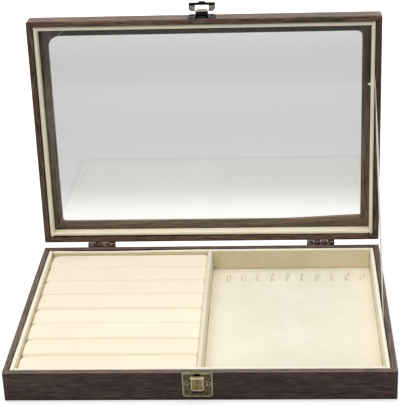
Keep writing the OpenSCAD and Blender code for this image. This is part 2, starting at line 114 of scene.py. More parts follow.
class Field:
    """A number or colour that varies over a surface. Python's operators on a number add Math nodes."""

    def __init__(self, finish, socket):
        self.finish, self.socket = finish, socket

    def math(self, operation, *values):
        return self.finish.node("ShaderNodeMath", {"operation": operation}, dict(enumerate(values)))

    def __add__(self, other):
        return self.math("ADD", self, other)

    __radd__ = __add__

    def __sub__(self, other):
        return self.math("SUBTRACT", self, other)

    def __rsub__(self, other):
        return self.math("SUBTRACT", other, self)

    def __mul__(self, other):
        return self.math("MULTIPLY", self, other)

    __rmul__ = __mul__

    def __truediv__(self, other):
        return self.math("DIVIDE", self, other)

    def __pow__(self, other):
        return self.math("POWER", self, other)

    def __abs__(self):
        return self.math("ABSOLUTE", self)

    def above(self, edge, soft):
        """0 below the edge and 1 above it, with a smooth step that is soft wide."""
        return self.finish.node(
            "ShaderNodeMapRange",
            {"interpolation_type": "SMOOTHSTEP"},
            {0: self, 1: edge - soft / 2, 2: edge + soft / 2, 3: 0.0, 4: 1.0},
        )

    def between(self, low, high):
        """The number scaled from 0..1 to low..high."""
        return self.finish.node("ShaderNodeMapRange", {}, {0: self, 1: 0.0, 2: 1.0, 3: low, 4: high})


class Finish:
    """A material as it is built up: its nodes, its shader and the place of each point on the piece."""

    def __init__(self, name, **constants):
        self.material = bpy.data.materials.new(name)
        self.material.use_nodes = True
        self.tree = self.material.node_tree
        self.shader = self.tree.nodes["Principled BSDF"]
        for socket, value in constants.items():
            self.shader.inputs[socket.replace("_", " ")].default_value = value
        self.place = self.node("ShaderNodeTexCoord", output="Object")

    def node(self, kind, settings=None, values=None, output=0):
        """Adds a node, sets it up and fills its sockets, by name or number, with values or with other fields."""
        node = self.tree.nodes.new(kind)
        for setting, choice in (settings or {}).items():
            if setting == "stops":
                for _ in choice[2:]:
                    node.color_ramp.elements.new(0.5)
                for stop, (at, colour) in zip(node.color_ramp.elements, choice):
                    stop.position, stop.color = at, colour
            else:
                setattr(node, setting, choice)
        for name, value in (values or {}).items():
            if isinstance(value, Field):
                self.tree.links.new(value.socket, node.inputs[name])
            else:
                node.inputs[name].default_value = value
        return Field(self, node.outputs[output])

    def as_shut(self):
        """Works from now on in the lid's own coordinates, as it lies shut on the base."""
        turn = Matrix.Rotation(LID_OPEN, 3, "X")
        self.place = self.node(
            "ShaderNodeMapping",
            {},
            {"Vector": self.place, "Rotation": (LID_OPEN, 0, 0), "Location": HINGE - turn @ HINGE},
        )

    def axis(self, letter):
        """The place along one axis, in metres."""
        return self.node("ShaderNodeSeparateXYZ", {}, {0: self.place}, letter)

    def noise(self, per_metre, detail=2.0, roughness=0.5, shift=0.0, distortion=0.0):
        """Noise with so many features per metre along X, Y and Z, or the same along all three."""
        scale = per_metre if isinstance(per_metre, tuple) else (per_metre,) * 3
        spread = self.node(
            "ShaderNodeMapping",
            {},
            {"Vector": self.place, "Scale": scale, "Location": (shift, shift * 1.7, shift * 0.6)},
        )
        return self.node(
            "ShaderNodeTexNoise",
            {},
            {
                "Vector": spread,
                "Scale": 1.0,
                "Detail": detail,
                "Roughness": roughness,
                "Distortion": distortion,
            },
        )

    def mix(self, first, second, share):
        """The first colour where share is 0, the second where it is 1."""
        return self.node(
            "ShaderNodeMix", {"data_type": "RGBA", "clamp_factor": True}, {0: share, 6: first, 7: second}, 2
        )

    def ramp(self, value, stops):
        return self.node("ShaderNodeValToRGB", {"stops": stops}, {0: value})

    def paint(self, **fields):
        """Links fields to the shader's sockets."""
        for socket, field in fields.items():
            self.tree.links.new(field.socket, self.shader.inputs[socket.replace("_", " ")])
        return self.material

    def emboss(self, height, strength, depth):
        """Raises and lowers the surface by height, which runs from 0 to 1, over a depth in metres."""
        bump = self.node("ShaderNodeBump", {}, {"Height": height, "Strength": strength, "Distance": depth}, "Normal")
        self.paint(Normal=bump)


def streaks(finish, along, shift=0.0):
    """Grain of wood printed on paper, running along X, Y or Z: long streaks, short pores and slow bands."""

    def stretched(length, width):
        return tuple(length if letter == along else width for letter in "XYZ")

    long = finish.noise(stretched(16, 330), 2.0, 0.55, shift, 0.3)
    pores = finish.noise(stretched(70, 800), 2.0, 0.65, shift + 3, 0.2)
    bands = finish.noise(stretched(9, 60), 2.0, 0.5, shift + 7)
    return long, pores, bands


def grained_wrap(name, along, colours, roughness, shift=0.0, lid=False):
    """Boards wrapped in printed wood-grain paper with a satin coat, folded over at the ends of each board.

    colours are the grain's dark, middle and pale tone, a redder one that drifts through it, and the tone of the painted
    highlight on the base's rim, where light from above falls on its top.
    """
    dark, middle, pale, red, lit_rim_tone = colours
    finish = Finish(name, Specular_IOR_Level=0.32)
    if lid:
        finish.as_shut()
    long, pores, bands = streaks(finish, along, shift)
    shade = long * 0.3 + pores * 0.55 + bands * 0.15
    colour = finish.ramp(shade, [(0.4, dark), (0.5, middle), (0.6, pale)])
    flush = finish.noise((38, 38, 70), 2.0, 0.55, shift + 13, 0.6)
    colour = finish.mix(colour, red, flush.above(0.54, 0.2) * 0.45)
    colour = finish.mix(colour, dark, (1 - pores.above(0.4, 0.12)) * 0.5)
    if not lid:
        # Painted highlight: the top of the base's walls is lighter, as light from above falls on it.
        rim = finish.axis("Z").above(0.0296, 0.0006) * (pores.above(0.5, 0.3) * 0.6 + flush * 0.4)
        colour = finish.mix(colour, lit_rim_tone, rim)
        # Painted highlight: a light line along the base's outer top edge.
        outer = abs(finish.axis("Y" if along == "X" else "X")) - (BOX_D if along == "X" else BOX_W) / 2
        edge = finish.axis("Z").above(0.0293, 0.0005) * outer.above(-0.0011, 0.0006)
        colour = finish.mix(colour, srgb(150, 128, 113), edge * 0.32)
    end = (BOX_W if along == "X" else BOX_D) / 2
    fold = abs(abs(finish.axis(along)) - (end - 0.0031))
    colour = finish.mix(colour, pale, (1 - fold.above(0.0004, 0.0005)) * 0.4)
    finish.emboss(long * 0.3 + pores * 0.7, 0.5, 0.00012)
    return finish.paint(Base_Color=colour, Roughness=pores * 0.22 + (roughness - 0.11))


def velvet(name, colour, blush, hollow, shift=0.0, groove_shade=None, lit_edge_tone=None, front_right_tone=None, lid=False):
    """Cream velvet: a soft nap whose tone drifts where the pile was brushed another way.

    groove_shade holds the height below which the pile is painted darker, as shade in the grooves, and its tone there.
    lit_edge_tone is the tone painted along a free edge for how light falls there, and front_right_tone the tone that
    the pile turns darker to towards the front right.
    """
    finish = Finish(name, Sheen_Weight=0.05, Sheen_Roughness=0.5, Specular_IOR_Level=0.1)
    finish.shader.inputs["Sheen Tint"].default_value = (1, 0.94, 0.82, 1)
    drift = finish.noise(16, 2.0, 0.5, shift, 0.4)
    brushed = finish.noise((60, 34, 60), 3.0, 0.6, shift + 2, 0.8)
    fibre = finish.noise(2600, 2.0, 0.7, shift + 5)
    tone = finish.mix(colour, blush, (drift * 0.6 + brushed * 0.4).above(0.5, 0.3))
    tone = finish.mix(tone, hollow, (1 - fibre.above(0.42, 0.2)) * 0.3)
    if lid:
        finish.as_shut()
    height = finish.axis("Z")
    # Darker towards the front right.
    if front_right_tone:
        corner = (finish.axis("X") * 0.45 - finish.axis("Y") + brushed * 0.04).above(0.12, 0.13)
        tone = finish.mix(tone, front_right_tone, corner * 0.85)
    # Painted shade: below the given height, in the grooves between the rolls, the pile is darkened.
    if groove_shade:
        tone = finish.mix(tone, groove_shade[1], (1 - height.above(groove_shade[0] - 0.0015, 0.003)) * 0.8)
    # Painted light: a tone along the free edge for how light falls there.
    if lit_edge_tone:
        edge = 1 - height.above(LID_RIM + 0.0032, 0.002) if lid else height.above(LINING_TOP - 0.001, 0.0012)
        tone = finish.mix(tone, lit_edge_tone, edge)
    finish.emboss(fibre * 0.6 + brushed * 0.4, 0.4, 0.0002)
    return finish.paint(Base_Color=tone, Roughness=brushed.between(0.84, 0.98))


def antique_metal(name, dark, worn, roughness, wear=0.0, proud=None, shade_spots=()):
    """Plated steel darkened to antique bronze, rubbed bright in patches and where it stands proud of the front.

    shade_spots are spots of painted black shade on the front, round the nails and by the latch's tongue, each given by
    how far it lies from the latch's middle, its height, and its half width and half height.
    """
    finish = Finish(name, Metallic=1.0)
    cloud = finish.noise(420, 3.0, 0.6)
    grit = finish.noise(2400, 2.0, 0.7, 4)
    share = (cloud * 0.6 + grit * 0.4).above(0.52 - wear, 0.22) * 0.5
    if proud is not None:
        height = FRONT - finish.axis("Y")
        share = share * 0.7 + height.above(proud, 0.00015) * 0.65
    finish.emboss(cloud * 0.4 + grit * 0.6, 0.3, 0.0001)
    colour = finish.mix(dark, worn, share)
    # Painted shade: near black round the nails and in the slots by the tongue, where shade falls.
    for out, height, half_w, half_h in shade_spots:
        x = (abs(finish.axis("X") - HASP_PIN.x) - out) / half_w
        z = (finish.axis("Z") - height) / half_h
        hollow = (x * x + z * z) ** 0.5 if out else (x**4 + z**4) ** 0.25
        colour = finish.mix(colour, srgb(6, 5, 4), 1 - hollow.above(1.0, 0.2))
    return finish.paint(Base_Color=colour, Roughness=grit * 0.2 + (roughness - 0.1))


def highlighted_flap():
    """The hasp's flap: near black at its neck and free edge, textured grey sides, and a painted beige highlight on the
    curl, where light from above falls.
    """
    finish = Finish("hasp_flap_bronze", Metallic=1.0)
    y, z = finish.axis("Y") - HASP_PIN.y, finish.axis("Z") - HASP_PIN.z
    out = (y * y + z * z) ** 0.5
    aside = abs(finish.axis("X") - HASP_PIN.x)
    grit = finish.noise(1500, 3.0, 0.7, 4)
    sides = aside.above(0.0064, 0.0008) * (1 - out.above(0.0109, 0.0006)) * grit.above(0.5, 0.12)
    # Painted highlight on the curl, lit from above.
    curl_highlight = out.above(0.0045, 0.0006) * (1 - out.above(0.0068, 0.0006)) * (1 - aside.above(0.0056, 0.0004))
    colour = finish.mix(srgb(14, 12, 10), srgb(132, 130, 122), sides * 0.8)
    colour = finish.mix(colour, srgb(198, 188, 170), curl_highlight * (grit * 0.6 + 0.4))
    finish.emboss(grit, 0.4, 0.00012)
    return finish.paint(Base_Color=colour, Roughness=grit * 0.2 + 0.32)


def window_pane():
    """Clear float glass that lets the lamps through."""
    finish = Finish("glass", Roughness=0.0, IOR=1.5, Transmission_Weight=1.0)
    finish.shader.inputs["Base Color"].default_value = (0.944, 0.944, 0.934, 1)
    through = finish.node("ShaderNodeBsdfTransparent", {}, {"Color": (0.89, 0.89, 0.88, 1)})
    lamps = finish.node("ShaderNodeLightPath", output="Is Shadow Ray")
    both = finish.node(
        "ShaderNodeMixShader", {}, {0: lamps, 1: Field(finish, finish.shader.outputs[0]), 2: through}
    )
    finish.tree.links.new(both.socket, finish.tree.nodes["Material Output"].inputs["Surface"])
    return finish.material


def panel_wrap():
    """The window panel's wrap: four mitred strips of grain with a fine seam at each corner, and painted shade towards
    the hasp's end.
    """
    finish = Finish("panel_board", Specular_IOR_Level=0.16)
    finish.as_shut()
    past_side = abs(finish.axis("X")) - (BOX_W / 2 - WINDOW_BORDER)
    past_end = abs(finish.axis("Y")) - (BOX_D / 2 - WINDOW_BORDER)
    mitre = past_side - past_end
    upright = mitre.above(0.0, 0.0002)
    long, pores, bands = (
        a + (b - a) * upright for a, b in zip(streaks(finish, "X", 11), streaks(finish, "Y", 17))
    )
    shade = long * 0.45 + pores * 0.35 + bands * 0.2
    colour = finish.ramp(shade, [(0.38, srgb(62, 46, 33)), (0.5, srgb(104, 84, 63)), (0.62, srgb(136, 114, 89))])
    # Painted shade: darker towards the hasp's end, which the rim and the lining shade with the lid open.
    front = 1 - finish.axis("Y").above(-0.03, 0.14)
    colour = finish.mix(colour, srgb(30, 20, 13), front * 0.8)
    colour = finish.mix(colour, srgb(150, 136, 112), (1 - abs(mitre).above(0.00035, 0.0002)) * 0.5)
    # A short pale diagonal mark near the window's left corner at the hasp's end.
    x, y = finish.axis("X") + 0.1466, finish.axis("Y") + 0.1024
    pale_mark = (1 - abs(x * 0.58 + y * 0.81).above(0.0005, 0.0004)) * (1 - abs(x - 0.0034).above(0.0036, 0.002))
    colour = finish.mix(colour, srgb(176, 166, 140), pale_mark * 0.6)
    finish.emboss(long * 0.4 + pores * 0.6, 0.5, 0.00012)
    return finish.paint(Base_Color=colour, Roughness=pores * 0.2 + 0.28)


def felt_sheet():
    """Dark pressed felt."""
    finish = Finish("dark_felt", Sheen_Weight=0.2, Specular_IOR_Level=0.1)
    fibre = finish.noise(1500, 3.0, 0.75, 0.0, 1.5)
    colour = finish.mix(srgb(24, 21, 19), srgb(52, 47, 43), fibre)
    finish.emboss(fibre, 0.6, 0.0003)
    return finish.paint(Base_Color=colour, Roughness=fibre.between(0.85, 1.0))


def hook_steel():
    """Bright nickel wire with fine drawing marks."""
    finish = Finish("hook_wire", Metallic=1.0)
    marks = finish.noise((1800, 1800, 300), 2.0, 0.6)
    colour = finish.mix(srgb(222, 217, 204), srgb(248, 244, 234), marks)
    finish.emboss(marks, 0.15, 0.00005)
    return finish.paint(Base_Color=colour, Roughness=marks.between(0.42, 0.6))


def satin():
    """White satin ribbon with fine ribs and a slight sheen."""
    finish = Finish("satin_ribbon", Sheen_Weight=0.2, Sheen_Roughness=0.3, Specular_IOR_Level=0.6)
    ribs = finish.noise((900, 5200, 5200), 1.0, 0.5)
    colour = finish.mix(srgb(240, 236, 228), srgb(253, 250, 244), ribs)
    finish.emboss(ribs, 0.3, 0.00006)
    return finish.paint(Base_Color=colour, Roughness=ribs.between(0.35, 0.55))


# Pieces made here


def closed_piece(name, points, faces, finish, smooth=True):
    """A closed mesh at the origin, its faces turned outwards."""
    mesh = bpy.data.meshes.new(name)
    mesh.from_pydata([tuple(p) for p in points], [], faces)
    work = bmesh.new()
    work.from_mesh(mesh)
    bmesh.ops.recalc_face_normals(work, faces=work.faces)
    work.to_mesh(mesh)
    work.free()
    mesh.materials.append(finish)
    if smooth:
        mesh.shade_smooth()
    piece = bpy.data.objects.new(name, mesh)
    bpy.context.collection.objects.link(piece)
    return piece


def ringed(rings, around):
    """Faces over rings of points in order, with a flat face over the first and the last ring."""
    faces = [tuple(range(around)), tuple(range((rings - 1) * around, rings * around))]
    for i in range(rings - 1):
        for k in range(around):
            n = (k + 1) % around
            faces.append((i * around + k, (i + 1) * around + k, (i + 1) * around + n, i * around + n))
    return faces


def arc(centre, radius, start, stop, steps):
    angle = np.radians(np.linspace(start, stop, steps))
    return np.stack([centre[0] + radius * np.cos(angle), centre[1] + radius * np.sin(angle)], 1)


def soft_section(half, radii, flats):
    """Outline in Y and Z of a soft bar: its rear, front and foot corners have these radii."""
    rear, front, foot = radii
    y, z = half
    top = np.linspace(y - rear, front - y, flats + 2)[1:-1]
    side = np.linspace(z - rear, foot - z, 5)[1:-1]
    sole = np.linspace(y - foot, foot - y, 8)[1:-1]
    return np.concatenate(
        [
            arc((y - rear, z - rear), rear, 0, 90, 9),
            np.stack([top, np.full(len(top), z)], 1),
            arc((front - y, z - front), front, 90, 180, 9),
            np.stack([np.full(3, -y), side], 1),
            arc((foot - y, foot - z), foot, 180, 270, 5),
            np.stack([-sole, np.full(len(sole), -z)], 1),
            arc((y - foot, foot - z), foot, 270, 360, 5),
            np.stack([np.full(3, y), side[::-1]], 1),
        ]
    )


def opened(points):
    """Points of the shut lid as they lie with the lid open."""
    turn = np.array(Matrix.Rotation(-LID_OPEN, 3, "X"))
    return (np.asarray(points) - np.array(HINGE)) @ turn.T + np.array(HINGE)


def soft_bar(name, node, radii, ends, flats, stations, crown, ripple, finish):
    """A stuffed bar along X in the space of a CAD node: crowned on top, drawn in and rounded at its ends.

    ends holds, for the left and the right end, how long its rounding is and how far it draws in the sides and the
    top. ripple is how far the cloth's small waves rise and sink; they grow where the cloth is tucked in at the ends.
    """
    low, high = (np.array(corner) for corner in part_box(node))
    centre, half = (low + high) / 2, (high - low) / 2
    half = half + [0, PILE, 0]
    turn = np.radians(np.linspace(0, 90, 12))
    (left_l, *left), (right_l, *right) = ends
    rows = []
    for way, length, drawn in ((1, right_l, right), (-1, left_l, left)):
        tips = [(half[0] - length * (1 - math.sin(t)), 1 - math.cos(t), 1) for t in turn]
        caps = [(half[0] + 0.0001 * (1 - c), 1, c) for c in (0.85, 0.6, 0.3)]
        rows.append([(way * x, draw, share, drawn) for x, draw, share in tips + caps])
    middle = np.linspace(half[0] - right_l, left_l - half[0], stations)[1:-1]
    rows = [*rows[0][::-1], *[(x, 0, 1, left) for x in middle], *rows[1]]
    points = []
    for x, draw, share, (sides, top) in rows:
        ring = soft_section(half[1:] - draw * np.array([sides, top / 2]), radii, flats)
        ring = (ring - [0, draw * top / 2]) * share
        near_end = math.exp(-(half[0] - abs(x)) / 0.007)
        for y, z in ring:
            lift = crown * (1 - (x / half[0]) ** 4) * (1 - (y / half[1]) ** 2) if z > 0 else 0
            wave = noise.noise(Vector((x * 45, y * 60, z * 60)) + Vector(centre * 90))
            pucker = noise.noise(Vector((x * 140, y * 420, z * 420)) + Vector(centre * 300))
            out = ripple * (wave + 2.5 * near_end * pucker) * min(1, share * (z > -half[2] * 0.9))
            points.append(
                (x, y - out * 0.3 * np.sign(y) * (abs(y) > half[1] * 0.9), z + out * (z > half[2] * 0.5) + lift)
            )
    piece = closed_piece(name, np.array(points) + centre, ringed(len(rows), len(ring)), finish)
    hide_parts(node)
    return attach(piece, "base")


def covered_strip(node, side, length, thick, foot, edge, lean, rise, finish, shut=False):
    """A velvet-covered card strip, rounded at its free edge, in the space of a CAD node.

    side is the wall it lines, foot and edge are the heights of its foot and its free edge, with the lid shut. lean
    and rise say how far the free edge stands off the wall and how far it is raised at each place along the strip.
    """
    height = abs(edge - foot)
    corner = min(0.0014, thick * 0.42)
    steps = np.linspace(0, height - corner, 9)
    section = np.concatenate(
        [
            np.stack([np.full(9, 0.0), steps], 1)[:-1],
            arc((corner, height - corner), corner, 180, 90, 6),
            arc((thick - corner, height - corner), corner, 90, 0, 6),
            np.stack([np.full(9, thick), steps[::-1]], 1)[1:],
        ]
    )
    count = max(40, int(length / 0.002))
    half = length / 2
    run = np.concatenate([[-half, -half + 0.0003], np.linspace(-half + 0.001, half - 0.001, count)])
    run = np.concatenate([run, [half - 0.0003, half]])
    points = []
    for s in run:
        pulled = 1 - 0.35 * math.exp(-(half - abs(s)) / 0.0004)
        for t, h in section:
            share = (h / height) ** 1.4
            waver = noise.noise(Vector((s * 55, h * 90, t * 200 + len(node)))) * 0.00014
            out = (t - thick / 2) * pulled + thick / 2 - lean(s) * share + waver
            up = h * (1 - (1 - pulled) * 0.04) + rise(s) * share + waver * 0.6 * share
            across = (LINED_Y if side in ("front", "back") else LINED_X) + out
            if side == "middle":
                across = out - thick / 2
            x, y = {
                "front": (s, -across),
                "back": (s, across),
                "left": (-across, s),
                "right": (across, s),
                "middle": (across, s),
            }[side]
            points.append((x, y, foot + up if edge > foot else foot - up))
    piece = closed_piece(
        f"velvet_{node}", opened(points) if shut else points, ringed(len(run), len(section)), finish
    )
    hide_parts(node)
    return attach(piece, "lid" if shut else "base")


def turned_wrap(name, outer, inner, finish):
    """Wrap turned in round the window's edge: two rows of as many points on the shut lid, on its edge and inside it."""
    count = len(outer)
    flat = np.concatenate([outer, inner])
    points = [(x, y, z) for z in (PANEL_FACE + 0.00005, LID_TOP - 0.0004) for x, y in flat]
    faces = []
    for i in range(count - 1):
        faces.append((i, i + 1, count + i + 1, count + i))
        faces.append(tuple(2 * count + k for k in (i, count + i, count + i + 1, i + 1)))
        faces.append((i, 2 * count + i, 2 * count + i + 1, i + 1))
        faces.append((count + i, count + i + 1, 3 * count + i + 1, 3 * count + i))
    for i in (0, count - 1):
        faces.append((i, count + i, 3 * count + i, 2 * count + i))
    piece = closed_piece(name, opened(points), faces, finish, smooth=False)
    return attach(piece, "lid")


def turned_corner(name, side, radius, finish):
    """A corner of the window at the hasp's end, wrapped to a larger radius than the panel's own."""
    corner = np.array([side * (BOX_W / 2 - WINDOW_BORDER), WINDOW_BORDER - BOX_D / 2])
    inward = np.array([-side, 1])
    outer = np.array([[radius, 0], *arc((WINDOW_R, WINDOW_R), WINDOW_R, 270, 180, 9), [0, radius]])
    inner = arc((radius, radius), radius, 180, 270, 11)[::-1][: len(outer)]
    return turned_wrap(name, corner + inward * (outer - 0.00003), corner + inward * (inner + 0.00001), finish)


def swollen_foot(name, start, rise, finish):
    """The wrap along the foot of the window, which stands off more and more towards its right end."""
    right, foot = BOX_W / 2 - WINDOW_BORDER, BOX_D / 2 - WINDOW_BORDER
    x = np.linspace(start, right + 0.00002, 40)
    share = (x - start) / (right - start)
    inner = foot - 0.0001 - rise * share**2 * (2 - share)
    in_corner = np.clip(x - right + WINDOW_R, 0, WINDOW_R)
    outer = foot + 0.00003 - WINDOW_R + np.sqrt(WINDOW_R**2 - in_corner**2)
    return turned_wrap(name, np.stack([x, outer], 1), np.stack([x, inner], 1), finish)


def felt(name, node, size, thick, finish):
    """A sheet of felt glued flat under the base, with soft cut edges and a faint swell."""
    count = (90, 62)
    xs, ys = (np.linspace(-w / 2, w / 2, n) for w, n in zip(size, count))
    points = []
    for level in (0, 1):
        for x in xs:
            for y in ys:
                edge = min(size[0] / 2 - abs(x), size[1] / 2 - abs(y))
                swell = noise.noise(Vector((x * 30, y * 30, level * 9))) * 0.00004
                inset = 0.0002 if edge < 0.0001 else 0
                points.append(
                    (x - np.sign(x) * inset, y - np.sign(y) * inset, level * thick + (0.00005 + swell) * (1 - level))
                )
    faces = []
    for level in (0, 1):
        for i in range(count[0] - 1):
            for k in range(count[1] - 1):
                at = level * count[0] * count[1] + i * count[1] + k
                faces.append((at, at + 1, at + count[1] + 1, at + count[1]))
    rim = [i * count[1] for i in range(count[0])] + [(count[0] - 1) * count[1] + k for k in range(1, count[1])]
    rim += [i * count[1] + count[1] - 1 for i in range(count[0] - 2, -1, -1)] + list(range(count[1] - 2, 0, -1))
    above = count[0] * count[1]
    for i, at in enumerate(rim):
        nxt = rim[(i + 1) % len(rim)]
        faces.append((at, nxt, nxt + above, at + above))
    piece = closed_piece(name, points, faces, finish)
    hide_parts(node)
    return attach(piece, "base")


def woven_strip():
    """Geometry Nodes tree of a flat woven strip with softened selvedges, from Start to End, turned by Twist between."""
    tree = bpy.data.node_groups.new("woven_strip", "GeometryNodeTree")
    for name, kind in (
        ("Start", "Vector"),
        ("End", "Vector"),
        ("Width", "Float"),
        ("Thickness", "Float"),
        ("Selvedge", "Float"),
        ("Twist", "Float"),
        ("Steps", "Int"),
        ("Finish", "Material"),
    ):
        tree.interface.new_socket(name, in_out="INPUT", socket_type=f"NodeSocket{kind}")
    tree.interface.new_socket("Strip", in_out="OUTPUT", socket_type="NodeSocketGeometry")
    given = tree.nodes.new("NodeGroupInput").outputs

    def node(kind, settings=None, **links):
        made = tree.nodes.new(kind)
        for setting, choice in (settings or {}).items():
            setattr(made, setting, choice)
        for socket, source in links.items():
            socket = made.inputs[socket.replace("_", " ")]
            if isinstance(source, bpy.types.NodeSocket):
                tree.links.new(source, socket)
            else:
                socket.default_value = source
        return made.outputs[0]

    line = node("GeometryNodeCurvePrimitiveLine", Start=given["Start"], End=given["End"])
    path = node("GeometryNodeResampleCurve", Curve=line, Count=given["Steps"])
    path = node("GeometryNodeSetCurveNormal", {"mode": "Z_UP"}, Curve=path)
    along = node("GeometryNodeSplineParameter")
    middle = node("ShaderNodeMapRange", {"interpolation_type": "SMOOTHSTEP"}, Value=along, From_Min=0.08, From_Max=0.3)
    ending = node("ShaderNodeMapRange", {"interpolation_type": "SMOOTHSTEP"}, Value=along, From_Min=0.92, From_Max=0.7)
    turn = tree.nodes.new("ShaderNodeMath")
    turn.operation = "MULTIPLY"
    tree.links.new(middle, turn.inputs[0])
    tree.links.new(ending, turn.inputs[1])
    tilt = tree.nodes.new("ShaderNodeMath")
    tilt.operation = "MULTIPLY"
    tree.links.new(turn.outputs[0], tilt.inputs[0])
    tree.links.new(given["Twist"], tilt.inputs[1])
    path = node("GeometryNodeSetCurveTilt", Curve=path, Tilt=tilt.outputs[0])
    section = node("GeometryNodeCurvePrimitiveQuadrilateral", Width=given["Thickness"], Height=given["Width"])
    section = node("GeometryNodeFilletCurve", {"mode": "POLY"}, Curve=section, Radius=given["Selvedge"], Count=1)
    cloth = node("GeometryNodeCurveToMesh", Curve=path, Profile_Curve=section, Fill_Caps=True)
    cloth = node("GeometryNodeRealizeInstances", Geometry=cloth)
    cloth = node("GeometryNodeSetMaterial", Geometry=cloth, Material=given["Finish"])
    tree.links.new(cloth, tree.nodes.new("NodeGroupOutput").inputs[0])
    return tree


def grown(name, tree, **inputs):
    """A plain piece at the origin that a Geometry Nodes tree makes from its named inputs."""
    seed = bpy.data.objects.new(name, bpy.data.meshes.new(f"{name}_seed"))
    bpy.context.collection.objects.link(seed)
    growth = seed.modifiers.new("growth", "NODES")
    growth.node_group = tree
    for socket in tree.interface.items_tree:
        if socket.in_out == "INPUT":
            growth[socket.identifier] = inputs[socket.name.lower()]
    shape = bpy.data.meshes.new_from_object(seed.evaluated_get(bpy.context.evaluated_depsgraph_get()))
    work = bmesh.new()
    work.from_mesh(shape)
    bmesh.ops.recalc_face_normals(work, faces=work.faces)
    work.to_mesh(shape)
    work.free()
    shape.shade_smooth()
    seed.modifiers.remove(growth)
    seed.data = shape
    return seed


def dress(node, finish, edge=0.0, slices=2):
    """Gives a CAD node its finish and, for pressed or cut metal, a rolled edge."""
    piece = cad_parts[node]
    piece.data.materials.clear()
    piece.data.materials.append(finish)
    if edge:
        weld = piece.modifiers.new("weld", "WELD")
        weld.merge_threshold = 0.000002
        bevel = piece.modifiers.new("edge", "BEVEL")
        bevel.width, bevel.segments, bevel.limit_method = edge, slices, "ANGLE"
        bevel.angle_limit = math.radians(40)
        bevel.harden_normals = False
    return piece


# Studio


def lamp(name, place, aim, size, watts, colour=(1, 1, 1)):
    """A soft box at a place, turned to aim."""
    light = bpy.data.lights.new(name, "AREA")
    light.shape, light.size, light.size_y = "RECTANGLE", *size
    light.energy, light.color = watts, colour
    box = bpy.data.objects.new(name, light)
    box.location = place
    box.rotation_euler = (Vector(aim) - Vector(place)).to_track_quat("-Z", "Y").to_euler()
    bpy.context.collection.objects.link(box)


def studio():
    """White table, soft boxes above and in front, and a white surround that darkens in front for metal and glass."""
    work = bmesh.new()
    corners = [work.verts.new(c) for c in ((-4, -0.54, 0), (4, -0.54, 0), (4, 4, 0), (-4, 4, 0))]
    work.faces.new(corners)
    mesh = bpy.data.meshes.new("floor")
    work.to_mesh(mesh)
    work.free()
    floor = bpy.data.objects.new("floor", mesh)
    floor.location.z = -0.0003
    bpy.context.collection.objects.link(floor)
    table = Finish("white_table")
    nodes = table.tree.nodes
    nodes.remove(table.shader)
    seen = table.node("ShaderNodeLightPath", output="Is Camera Ray")
    through = table.node("ShaderNodeLightPath", output="Is Transmission Ray")
    mirrored = table.node("ShaderNodeLightPath", output="Is Glossy Ray")
    away = table.axis("Y").above(0.45, 0.7)
    reach = (table.axis("X") * table.axis("X") + table.axis("Y") * table.axis("Y")) ** 0.5
    near = 1 - table.axis("Y").above(0.282, 0.14)
    far = table.axis("Y").above(0.58, 0.2) * 0.07 + table.axis("Y").above(0.9, 0.3) * 0.22 + 0.03
    glow = seen * (reach.above(0.6, 0.7) * 0.35 + 0.65) + mirrored * (1 - through) * away * 0.5 + through * (near * 0.5 + far)
    paper = table.node("ShaderNodeBsdfDiffuse", {}, {"Color": (0.62, 0.62, 0.62, 1)})
    light = table.node("ShaderNodeEmission", {}, {"Strength": glow})
    both = table.node("ShaderNodeAddShader", {}, {0: paper, 1: light})
    table.tree.links.new(both.socket, nodes["Material Output"].inputs["Surface"])
    mesh.materials.append(table.material)

    world = bpy.data.worlds.new("surround")
    world.use_nodes = True
    bpy.context.scene.world = world
    sky = Finish.__new__(Finish)
    sky.tree = world.node_tree
    background = sky.tree.nodes["Background"]
    path = sky.node("ShaderNodeLightPath", output="Is Camera Ray")
    bright = sky.node("ShaderNodeLightPath", output="Is Transmission Ray")
    gloss = sky.node("ShaderNodeLightPath", output="Is Glossy Ray")
    way = sky.node("ShaderNodeTexCoord", output="Generated")
    sky.place = way
    behind = sky.axis("Y").above(0.0, 0.9)
    mirrored = gloss * (1 - bright)
    soft = 1 - path - bright - mirrored
    level = path + bright + mirrored * (behind * 0.83 + 0.14) + soft * (behind * 0.2 + 0.2)
    sky.tree.links.new(level.socket, background.inputs["Strength"])
    background.inputs["Color"].default_value = (1, 1, 1, 1)

    bpy.context.scene.view_settings.view_transform = "Standard"
    lamp("softbox_above", (0, 0.18, 1.3), (0, 0.05, 0), (1.5, 1.1), 14.8)
    lamp("softbox_front", (-0.4, -1.7, 0.75), (0, 0, 0.1), (1.2, 0.8), 7.6)


photo_camera()

# Velvet rolls, pad, linings, felt and ribbon

ROLL_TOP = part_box("ring_roll_1")[1][2]
# The rolls' velvet is painted darker below their tops, as shade in the grooves between them.
ROLL_VELVET = velvet(
    "velvet_roll",
    srgb(251, 241, 218),
    srgb(250, 238, 216),
    srgb(234, 222, 196),
    groove_shade=(ROLL_TOP - 0.0016, srgb(212, 203, 172)),
)
PAD_VELVET = velvet("velvet_pad", srgb(247, 240, 222), srgb(238, 231, 211), srgb(222, 213, 190), 20, front_right_tone=srgb(235, 227, 207))
# The back lining is a darker, yellower copy of the cream, painted for the shade that falls on it, with a lighter tone
# painted along its top edge.
SHADED_BACK_VELVET = velvet(
    "velvet_lining", srgb(230, 219, 188), srgb(220, 208, 175), srgb(202, 190, 156), 40, lit_edge_tone=srgb(252, 245, 225)
)
CREAM = srgb(248, 240, 216), srgb(240, 230, 204), srgb(222, 211, 180)
# The side linings and the divider get a tone painted along their top edge for how light falls there.
SIDE_VELVET = velvet("velvet_side_lining", *CREAM, 43, lit_edge_tone=srgb(252, 246, 228))
DIVIDER_VELVET = velvet("velvet_divider", *CREAM, 44, lit_edge_tone=srgb(233, 225, 207))
